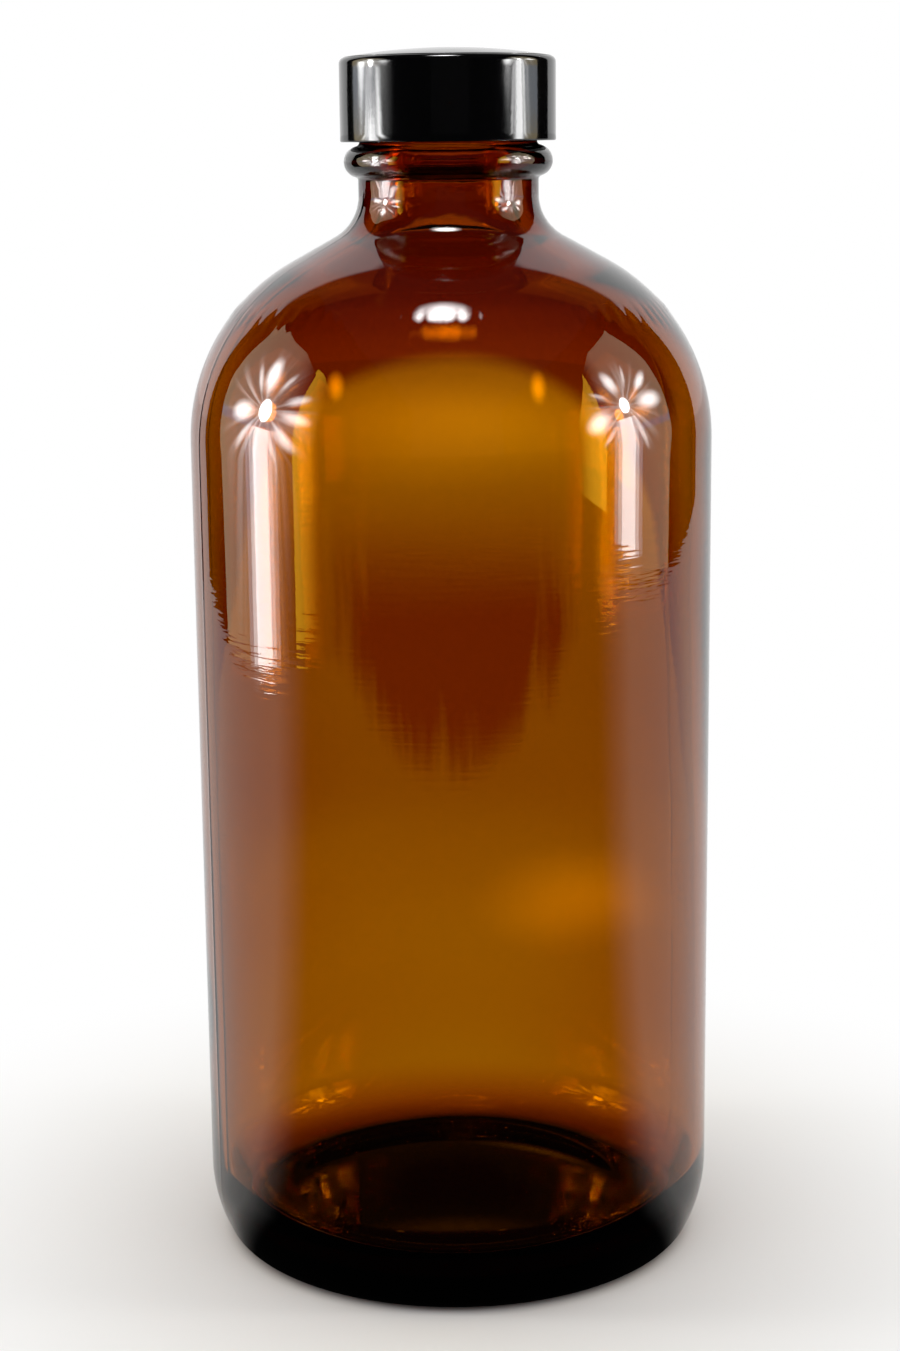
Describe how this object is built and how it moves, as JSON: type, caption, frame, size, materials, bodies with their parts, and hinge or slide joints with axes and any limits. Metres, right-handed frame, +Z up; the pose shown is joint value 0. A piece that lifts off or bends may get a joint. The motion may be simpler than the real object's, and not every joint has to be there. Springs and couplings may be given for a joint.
{
  "type": "screw-cap glass bottle",
  "caption": "Round-shouldered amber glass bottle with a threaded neck, standing on a flat ring, and a plain domed screw cap with a liner.",
  "frame": {"origin": "centre of the ring that the bottle stands on", "axes": "+Z up along the bottle's axis; +X and +Y are level, and +X points at the low end of the glass thread"},
  "size_m": [0.0745, 0.0744, 0.1733],
  "materials": {
    "amber_glass": "clear amber glass, glossy inside and out",
    "cap_moulding": "glossy black moulded phenolic",
    "liner_board": "grey-brown pulp board",
    "liner_facing": "thin white film"
  },
  "bodies": {
    "bottle": {"glass_bottle": "amber_glass"},
    "liner": {"liner_board": "liner_board", "liner_facing": "liner_facing"},
    "cap": {"screw_cap": "cap_moulding"}
  },
  "joints": [
    {"name": "cap_lift", "type": "slide", "parent": "bottle", "child": "liner", "axis": [0, 0, 1], "range_m": [0, 0.01693]},
    {"name": "cap_turn", "type": "hinge", "parent": "liner", "child": "cap", "pos_m": [0, 0, 0.1655], "axis": [0, 0, 1], "range_deg": [0, 1440]}
  ],
  "couplings": [
    {"joint": "cap_lift", "follows": "cap_turn", "m_per_rad": 0.00067376}
  ]
}
